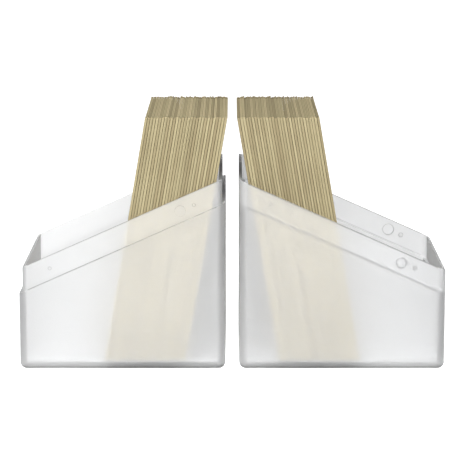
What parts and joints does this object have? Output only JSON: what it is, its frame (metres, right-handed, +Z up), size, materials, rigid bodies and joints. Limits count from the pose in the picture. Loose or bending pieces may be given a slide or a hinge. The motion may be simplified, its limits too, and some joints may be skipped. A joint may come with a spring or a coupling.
{
  "type": "two-part card case",
  "caption": "Frosted plastic slip-lid card case, opened into a base half and a lid half, each holding a leaning deck of sleeved cards.",
  "frame": {"origin": "middle of the underside, on the table, halfway between the two halves", "axes": "+Z up, +X from the base half to the lid half, +Y from the front to the back"},
  "size_m": [0.1558, 0.0716, 0.0925],
  "materials": {
    "frosted_plastic": "frosted, translucent, satin",
    "card_sleeves": "satin, opaque tan"
  },
  "bodies": {
    "base": {"base_shell": "frosted_plastic"},
    "lid": {"lid_shell": "frosted_plastic"},
    "base_packet_01": {"base_cards_01": "card_sleeves"},
    "base_packet_02": {"base_cards_02": "card_sleeves"},
    "base_packet_03": {"base_cards_03": "card_sleeves"},
    "base_packet_04": {"base_cards_04": "card_sleeves"},
    "base_packet_05": {"base_cards_05": "card_sleeves"},
    "base_packet_06": {"base_cards_06": "card_sleeves"},
    "base_packet_07": {"base_cards_07": "card_sleeves"},
    "base_packet_08": {"base_cards_08": "card_sleeves"},
    "base_packet_09": {"base_cards_09": "card_sleeves"},
    "base_packet_10": {"base_cards_10": "card_sleeves"},
    "base_packet_11": {"base_cards_11": "card_sleeves"},
    "base_packet_12": {"base_cards_12": "card_sleeves"},
    "base_packet_13": {"base_cards_13": "card_sleeves"},
    "base_packet_14": {"base_cards_14": "card_sleeves"},
    "base_packet_15": {"base_cards_15": "card_sleeves"},
    "base_packet_16": {"base_cards_16": "card_sleeves"},
    "base_packet_17": {"base_cards_17": "card_sleeves"},
    "base_packet_18": {"base_cards_18": "card_sleeves"},
    "base_packet_19": {"base_cards_19": "card_sleeves"},
    "base_packet_20": {"base_cards_20": "card_sleeves"},
    "base_packet_21": {"base_cards_21": "card_sleeves"},
    "base_packet_22": {"base_cards_22": "card_sleeves"},
    "base_packet_23": {"base_cards_23": "card_sleeves"},
    "base_packet_24": {"base_cards_24": "card_sleeves"},
    "base_packet_25": {"base_cards_25": "card_sleeves"},
    "base_packet_26": {"base_cards_26": "card_sleeves"},
    "base_packet_27": {"base_cards_27": "card_sleeves"},
    "base_packet_28": {"base_cards_28": "card_sleeves"},
    "base_packet_29": {"base_cards_29": "card_sleeves"},
    "lid_packet_01": {"lid_cards_01": "card_sleeves"},
    "lid_packet_02": {"lid_cards_02": "card_sleeves"},
    "lid_packet_03": {"lid_cards_03": "card_sleeves"},
    "lid_packet_04": {"lid_cards_04": "card_sleeves"},
    "lid_packet_05": {"lid_cards_05": "card_sleeves"},
    "lid_packet_06": {"lid_cards_06": "card_sleeves"},
    "lid_packet_07": {"lid_cards_07": "card_sleeves"},
    "lid_packet_08": {"lid_cards_08": "card_sleeves"},
    "lid_packet_09": {"lid_cards_09": "card_sleeves"},
    "lid_packet_10": {"lid_cards_10": "card_sleeves"},
    "lid_packet_11": {"lid_cards_11": "card_sleeves"},
    "lid_packet_12": {"lid_cards_12": "card_sleeves"},
    "lid_packet_13": {"lid_cards_13": "card_sleeves"},
    "lid_packet_14": {"lid_cards_14": "card_sleeves"},
    "lid_packet_15": {"lid_cards_15": "card_sleeves"},
    "lid_packet_16": {"lid_cards_16": "card_sleeves"},
    "lid_packet_17": {"lid_cards_17": "card_sleeves"},
    "lid_packet_18": {"lid_cards_18": "card_sleeves"},
    "lid_packet_19": {"lid_cards_19": "card_sleeves"},
    "lid_packet_20": {"lid_cards_20": "card_sleeves"},
    "lid_packet_21": {"lid_cards_21": "card_sleeves"},
    "lid_packet_22": {"lid_cards_22": "card_sleeves"},
    "lid_packet_23": {"lid_cards_23": "card_sleeves"},
    "lid_packet_24": {"lid_cards_24": "card_sleeves"},
    "lid_packet_25": {"lid_cards_25": "card_sleeves"},
    "lid_packet_26": {"lid_cards_26": "card_sleeves"},
    "lid_packet_27": {"lid_cards_27": "card_sleeves"},
    "lid_packet_28": {"lid_cards_28": "card_sleeves"},
    "lid_packet_29": {"lid_cards_29": "card_sleeves"}
  },
  "joints": [
    {"name": "lid_lift", "type": "slide", "parent": "base", "child": "lid", "axis": [0, 0, 1], "range_m": [0, 0.11]},
    {"name": "base_tip_01", "type": "hinge", "parent": "base", "child": "base_packet_01", "pos_m": [-0.04705, 0, 0.00286], "axis": [0, -1, 0], "range_deg": [0, 48]},
    {"name": "base_tip_02", "type": "hinge", "parent": "base", "child": "base_packet_02", "pos_m": [-0.04602, 0, 0.00286], "axis": [0, -1, 0], "range_deg": [0, 32.64]},
    {"name": "base_tip_03", "type": "hinge", "parent": "base", "child": "base_packet_03", "pos_m": [-0.04499, 0, 0.00286], "axis": [0, -1, 0], "range_deg": [0, 28.8]},
    {"name": "base_tip_04", "type": "hinge", "parent": "base", "child": "base_packet_04", "pos_m": [-0.04396, 0, 0.00286], "axis": [0, -1, 0], "range_deg": [0, 27.96]},
    {"name": "base_tip_05", "type": "hinge", "parent": "base", "child": "base_packet_05", "pos_m": [-0.04293, 0, 0.00286], "axis": [0, -1, 0], "range_deg": [0, 27.12]},
    {"name": "base_tip_06", "type": "hinge", "parent": "base", "child": "base_packet_06", "pos_m": [-0.0419, 0, 0.00286], "axis": [0, -1, 0], "range_deg": [0, 26.28]},
    {"name": "base_tip_07", "type": "hinge", "parent": "base", "child": "base_packet_07", "pos_m": [-0.04087, 0, 0.00286], "axis": [0, -1, 0], "range_deg": [0, 25.44]},
    {"name": "base_tip_08", "type": "hinge", "parent": "base", "child": "base_packet_08", "pos_m": [-0.03984, 0, 0.00286], "axis": [0, -1, 0], "range_deg": [0, 24.6]},
    {"name": "base_pull_09", "type": "slide", "parent": "base_packet_08", "child": "base_packet_09", "axis": [0.1702, 0, 0.9854], "range_m": [0, 0.095]},
    {"name": "base_tip_10", "type": "hinge", "parent": "base", "child": "base_packet_10", "pos_m": [-0.03778, 0, 0.00286], "axis": [0, -1, 0], "range_deg": [0, 22.92]},
    {"name": "base_tip_11", "type": "hinge", "parent": "base", "child": "base_packet_11", "pos_m": [-0.03675, 0, 0.00286], "axis": [0, -1, 0], "range_deg": [0, 22.08]},
    {"name": "base_tip_12", "type": "hinge", "parent": "base", "child": "base_packet_12", "pos_m": [-0.03572, 0, 0.00286], "axis": [0, -1, 0], "range_deg": [0, 21.24]},
    {"name": "base_tip_13", "type": "hinge", "parent": "base", "child": "base_packet_13", "pos_m": [-0.03469, 0, 0.00286], "axis": [0, -1, 0], "range_deg": [0, 20.4]},
    {"name": "base_tip_14", "type": "hinge", "parent": "base", "child": "base_packet_14", "pos_m": [-0.03366, 0, 0.00286], "axis": [0, -1, 0], "range_deg": [0, 19.56]},
    {"name": "base_tip_15", "type": "hinge", "parent": "base", "child": "base_packet_15", "pos_m": [-0.03263, 0, 0.00286], "axis": [0, -1, 0], "range_deg": [0, 18.72]},
    {"name": "base_tip_16", "type": "hinge", "parent": "base", "child": "base_packet_16", "pos_m": [-0.0316, 0, 0.00286], "axis": [0, -1, 0], "range_deg": [0, 17.88]},
    {"name": "base_tip_17", "type": "hinge", "parent": "base", "child": "base_packet_17", "pos_m": [-0.03057, 0, 0.00286], "axis": [0, -1, 0], "range_deg": [0, 17.04]},
    {"name": "base_tip_18", "type": "hinge", "parent": "base", "child": "base_packet_18", "pos_m": [-0.02954, 0, 0.00286], "axis": [0, -1, 0], "range_deg": [0, 16.2]},
    {"name": "base_tip_19", "type": "hinge", "parent": "base", "child": "base_packet_19", "pos_m": [-0.02851, 0, 0.00286], "axis": [0, -1, 0], "range_deg": [0, 15.36]},
    {"name": "base_tip_20", "type": "hinge", "parent": "base", "child": "base_packet_20", "pos_m": [-0.02748, 0, 0.00286], "axis": [0, -1, 0], "range_deg": [0, 14.52]},
    {"name": "base_tip_21", "type": "hinge", "parent": "base", "child": "base_packet_21", "pos_m": [-0.02645, 0, 0.00286], "axis": [0, -1, 0], "range_deg": [0, 13.68]},
    {"name": "base_tip_22", "type": "hinge", "parent": "base", "child": "base_packet_22", "pos_m": [-0.02542, 0, 0.00286], "axis": [0, -1, 0], "range_deg": [0, 12.84]},
    {"name": "base_tip_23", "type": "hinge", "parent": "base", "child": "base_packet_23", "pos_m": [-0.02439, 0, 0.00286], "axis": [0, -1, 0], "range_deg": [0, 12]},
    {"name": "base_tip_24", "type": "hinge", "parent": "base", "child": "base_packet_24", "pos_m": [-0.02336, 0, 0.00286], "axis": [0, -1, 0], "range_deg": [0, 11.16]},
    {"name": "base_tip_25", "type": "hinge", "parent": "base", "child": "base_packet_25", "pos_m": [-0.02233, 0, 0.00286], "axis": [0, -1, 0], "range_deg": [0, 10.32]},
    {"name": "base_tip_26", "type": "hinge", "parent": "base", "child": "base_packet_26", "pos_m": [-0.0213, 0, 0.00286], "axis": [0, -1, 0], "range_deg": [0, 9.48]},
    {"name": "base_tip_27", "type": "hinge", "parent": "base", "child": "base_packet_27", "pos_m": [-0.02027, 0, 0.00286], "axis": [0, -1, 0], "range_deg": [0, 8.64]},
    {"name": "base_tip_28", "type": "hinge", "parent": "base", "child": "base_packet_28", "pos_m": [-0.01924, 0, 0.00286], "axis": [0, -1, 0], "range_deg": [0, 7.8]},
    {"name": "base_tip_29", "type": "hinge", "parent": "base", "child": "base_packet_29", "pos_m": [-0.01821, 0, 0.00286], "axis": [0, -1, 0], "range_deg": [0, 6.96]},
    {"name": "lid_tip_01", "type": "hinge", "parent": "lid", "child": "lid_packet_01", "pos_m": [0.04705, 0, 0.00286], "axis": [0, 1, 0], "range_deg": [0, 50]},
    {"name": "lid_tip_02", "type": "hinge", "parent": "lid", "child": "lid_packet_02", "pos_m": [0.04602, 0, 0.00286], "axis": [0, 1, 0], "range_deg": [0, 33]},
    {"name": "lid_tip_03", "type": "hinge", "parent": "lid", "child": "lid_packet_03", "pos_m": [0.04499, 0, 0.00286], "axis": [0, 1, 0], "range_deg": [0, 28.8]},
    {"name": "lid_tip_04", "type": "hinge", "parent": "lid", "child": "lid_packet_04", "pos_m": [0.04396, 0, 0.00286], "axis": [0, 1, 0], "range_deg": [0, 27.96]},
    {"name": "lid_tip_05", "type": "hinge", "parent": "lid", "child": "lid_packet_05", "pos_m": [0.04293, 0, 0.00286], "axis": [0, 1, 0], "range_deg": [0, 27.12]},
    {"name": "lid_tip_06", "type": "hinge", "parent": "lid", "child": "lid_packet_06", "pos_m": [0.0419, 0, 0.00286], "axis": [0, 1, 0], "range_deg": [0, 26.28]},
    {"name": "lid_tip_07", "type": "hinge", "parent": "lid", "child": "lid_packet_07", "pos_m": [0.04087, 0, 0.00286], "axis": [0, 1, 0], "range_deg": [0, 25.44]},
    {"name": "lid_tip_08", "type": "hinge", "parent": "lid", "child": "lid_packet_08", "pos_m": [0.03984, 0, 0.00286], "axis": [0, 1, 0], "range_deg": [0, 24.6]},
    {"name": "lid_pull_09", "type": "slide", "parent": "lid_packet_08", "child": "lid_packet_09", "axis": [-0.1702, 0, 0.9854], "range_m": [0, 0.095]},
    {"name": "lid_tip_10", "type": "hinge", "parent": "lid", "child": "lid_packet_10", "pos_m": [0.03778, 0, 0.00286], "axis": [0, 1, 0], "range_deg": [0, 22.92]},
    {"name": "lid_tip_11", "type": "hinge", "parent": "lid", "child": "lid_packet_11", "pos_m": [0.03675, 0, 0.00286], "axis": [0, 1, 0], "range_deg": [0, 22.08]},
    {"name": "lid_tip_12", "type": "hinge", "parent": "lid", "child": "lid_packet_12", "pos_m": [0.03572, 0, 0.00286], "axis": [0, 1, 0], "range_deg": [0, 21.24]},
    {"name": "lid_tip_13", "type": "hinge", "parent": "lid", "child": "lid_packet_13", "pos_m": [0.03469, 0, 0.00286], "axis": [0, 1, 0], "range_deg": [0, 20.4]},
    {"name": "lid_tip_14", "type": "hinge", "parent": "lid", "child": "lid_packet_14", "pos_m": [0.03366, 0, 0.00286], "axis": [0, 1, 0], "range_deg": [0, 19.56]},
    {"name": "lid_tip_15", "type": "hinge", "parent": "lid", "child": "lid_packet_15", "pos_m": [0.03263, 0, 0.00286], "axis": [0, 1, 0], "range_deg": [0, 18.72]},
    {"name": "lid_tip_16", "type": "hinge", "parent": "lid", "child": "lid_packet_16", "pos_m": [0.0316, 0, 0.00286], "axis": [0, 1, 0], "range_deg": [0, 17.88]},
    {"name": "lid_tip_17", "type": "hinge", "parent": "lid", "child": "lid_packet_17", "pos_m": [0.03057, 0, 0.00286], "axis": [0, 1, 0], "range_deg": [0, 17.04]},
    {"name": "lid_tip_18", "type": "hinge", "parent": "lid", "child": "lid_packet_18", "pos_m": [0.02954, 0, 0.00286], "axis": [0, 1, 0], "range_deg": [0, 16.2]},
    {"name": "lid_tip_19", "type": "hinge", "parent": "lid", "child": "lid_packet_19", "pos_m": [0.02851, 0, 0.00286], "axis": [0, 1, 0], "range_deg": [0, 15.36]},
    {"name": "lid_tip_20", "type": "hinge", "parent": "lid", "child": "lid_packet_20", "pos_m": [0.02748, 0, 0.00286], "axis": [0, 1, 0], "range_deg": [0, 14.52]},
    {"name": "lid_tip_21", "type": "hinge", "parent": "lid", "child": "lid_packet_21", "pos_m": [0.02645, 0, 0.00286], "axis": [0, 1, 0], "range_deg": [0, 13.68]},
    {"name": "lid_tip_22", "type": "hinge", "parent": "lid", "child": "lid_packet_22", "pos_m": [0.02542, 0, 0.00286], "axis": [0, 1, 0], "range_deg": [0, 12.84]},
    {"name": "lid_tip_23", "type": "hinge", "parent": "lid", "child": "lid_packet_23", "pos_m": [0.02439, 0, 0.00286], "axis": [0, 1, 0], "range_deg": [0, 12]},
    {"name": "lid_tip_24", "type": "hinge", "parent": "lid", "child": "lid_packet_24", "pos_m": [0.02336, 0, 0.00286], "axis": [0, 1, 0], "range_deg": [0, 11.16]},
    {"name": "lid_tip_25", "type": "hinge", "parent": "lid", "child": "lid_packet_25", "pos_m": [0.02233, 0, 0.00286], "axis": [0, 1, 0], "range_deg": [0, 10.32]},
    {"name": "lid_tip_26", "type": "hinge", "parent": "lid", "child": "lid_packet_26", "pos_m": [0.0213, 0, 0.00286], "axis": [0, 1, 0], "range_deg": [0, 9.48]},
    {"name": "lid_tip_27", "type": "hinge", "parent": "lid", "child": "lid_packet_27", "pos_m": [0.02027, 0, 0.00286], "axis": [0, 1, 0], "range_deg": [0, 8.64]},
    {"name": "lid_tip_28", "type": "hinge", "parent": "lid", "child": "lid_packet_28", "pos_m": [0.01924, 0, 0.00286], "axis": [0, 1, 0], "range_deg": [0, 7.8]},
    {"name": "lid_tip_29", "type": "hinge", "parent": "lid", "child": "lid_packet_29", "pos_m": [0.01821, 0, 0.00286], "axis": [0, 1, 0], "range_deg": [0, 6.96]}
  ],
  "couplings": [
    {"joint": "base_tip_02", "follows": "base_tip_01", "ratio": 0.68},
    {"joint": "base_tip_03", "follows": "base_tip_01", "ratio": 0.6},
    {"joint": "base_tip_04", "follows": "base_tip_01", "ratio": 0.5825},
    {"joint": "base_tip_05", "follows": "base_tip_01", "ratio": 0.565},
    {"joint": "base_tip_06", "follows": "base_tip_01", "ratio": 0.5475},
    {"joint": "base_tip_07", "follows": "base_tip_01", "ratio": 0.53},
    {"joint": "base_tip_08", "follows": "base_tip_01", "ratio": 0.5125},
    {"joint": "base_tip_10", "follows": "base_tip_01", "ratio": 0.4775},
    {"joint": "base_tip_11", "follows": "base_tip_01", "ratio": 0.46},
    {"joint": "base_tip_12", "follows": "base_tip_01", "ratio": 0.4425},
    {"joint": "base_tip_13", "follows": "base_tip_01", "ratio": 0.425},
    {"joint": "base_tip_14", "follows": "base_tip_01", "ratio": 0.4075},
    {"joint": "base_tip_15", "follows": "base_tip_01", "ratio": 0.39},
    {"joint": "base_tip_16", "follows": "base_tip_01", "ratio": 0.3725},
    {"joint": "base_tip_17", "follows": "base_tip_01", "ratio": 0.355},
    {"joint": "base_tip_18", "follows": "base_tip_01", "ratio": 0.3375},
    {"joint": "base_tip_19", "follows": "base_tip_01", "ratio": 0.32},
    {"joint": "base_tip_20", "follows": "base_tip_01", "ratio": 0.3025},
    {"joint": "base_tip_21", "follows": "base_tip_01", "ratio": 0.285},
    {"joint": "base_tip_22", "follows": "base_tip_01", "ratio": 0.2675},
    {"joint": "base_tip_23", "follows": "base_tip_01", "ratio": 0.25},
    {"joint": "base_tip_24", "follows": "base_tip_01", "ratio": 0.2325},
    {"joint": "base_tip_25", "follows": "base_tip_01", "ratio": 0.215},
    {"joint": "base_tip_26", "follows": "base_tip_01", "ratio": 0.1975},
    {"joint": "base_tip_27", "follows": "base_tip_01", "ratio": 0.18},
    {"joint": "base_tip_28", "follows": "base_tip_01", "ratio": 0.1625},
    {"joint": "base_tip_29", "follows": "base_tip_01", "ratio": 0.145},
    {"joint": "lid_tip_02", "follows": "lid_tip_01", "ratio": 0.66},
    {"joint": "lid_tip_03", "follows": "lid_tip_01", "ratio": 0.576},
    {"joint": "lid_tip_04", "follows": "lid_tip_01", "ratio": 0.5592},
    {"joint": "lid_tip_05", "follows": "lid_tip_01", "ratio": 0.5424},
    {"joint": "lid_tip_06", "follows": "lid_tip_01", "ratio": 0.5256},
    {"joint": "lid_tip_07", "follows": "lid_tip_01", "ratio": 0.5088},
    {"joint": "lid_tip_08", "follows": "lid_tip_01", "ratio": 0.492},
    {"joint": "lid_tip_10", "follows": "lid_tip_01", "ratio": 0.4584},
    {"joint": "lid_tip_11", "follows": "lid_tip_01", "ratio": 0.4416},
    {"joint": "lid_tip_12", "follows": "lid_tip_01", "ratio": 0.4248},
    {"joint": "lid_tip_13", "follows": "lid_tip_01", "ratio": 0.408},
    {"joint": "lid_tip_14", "follows": "lid_tip_01", "ratio": 0.3912},
    {"joint": "lid_tip_15", "follows": "lid_tip_01", "ratio": 0.3744},
    {"joint": "lid_tip_16", "follows": "lid_tip_01", "ratio": 0.3576},
    {"joint": "lid_tip_17", "follows": "lid_tip_01", "ratio": 0.3408},
    {"joint": "lid_tip_18", "follows": "lid_tip_01", "ratio": 0.324},
    {"joint": "lid_tip_19", "follows": "lid_tip_01", "ratio": 0.3072},
    {"joint": "lid_tip_20", "follows": "lid_tip_01", "ratio": 0.2904},
    {"joint": "lid_tip_21", "follows": "lid_tip_01", "ratio": 0.2736},
    {"joint": "lid_tip_22", "follows": "lid_tip_01", "ratio": 0.2568},
    {"joint": "lid_tip_23", "follows": "lid_tip_01", "ratio": 0.24},
    {"joint": "lid_tip_24", "follows": "lid_tip_01", "ratio": 0.2232},
    {"joint": "lid_tip_25", "follows": "lid_tip_01", "ratio": 0.2064},
    {"joint": "lid_tip_26", "follows": "lid_tip_01", "ratio": 0.1896},
    {"joint": "lid_tip_27", "follows": "lid_tip_01", "ratio": 0.1728},
    {"joint": "lid_tip_28", "follows": "lid_tip_01", "ratio": 0.156},
    {"joint": "lid_tip_29", "follows": "lid_tip_01", "ratio": 0.1392}
  ]
}
